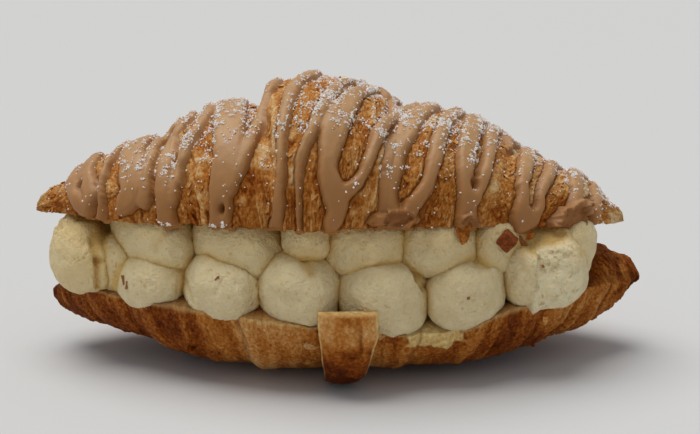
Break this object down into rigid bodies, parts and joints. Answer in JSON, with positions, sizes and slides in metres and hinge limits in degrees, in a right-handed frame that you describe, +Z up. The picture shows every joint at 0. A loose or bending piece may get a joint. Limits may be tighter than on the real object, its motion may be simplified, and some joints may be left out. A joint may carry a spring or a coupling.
{
  "type": "filled croissant",
  "caption": "Large split croissant with rows of piped ivory cream between its flaky halves, a dough tail over the front and a cube of caramel sponge.",
  "frame": {"origin": "under the middle of the whole, on the surface that it rests on", "axes": "+X along the croissant to the right as it is served, -Y to the served front with the dough tail, +Z up"},
  "size_m": [0.1874, 0.0946, 0.0849],
  "materials": {
    "crust": "baked flaky crust",
    "cream": "matt whipped cream",
    "caramel": "moist caramel sponge",
    "icing": "set coffee icing",
    "sugar": "fine icing sugar"
  },
  "bodies": {
    "root": {"upper_half": "crust", "lower_half": "crust", "cream_left_end": "cream", "cream_left_fold": "cream", "cream_low_1": "cream", "cream_low_2": "cream", "cream_low_3": "cream", "cream_low_4": "cream", "cream_low_5": "cream", "cream_right_end": "cream", "cream_high_1": "cream", "cream_high_2": "cream", "cream_high_3": "cream", "cream_high_4": "cream", "cream_high_5": "cream", "cream_high_6": "cream", "cream_right_swirl": "cream", "caramel_cube": "caramel"}
  },
  "joints": []
}
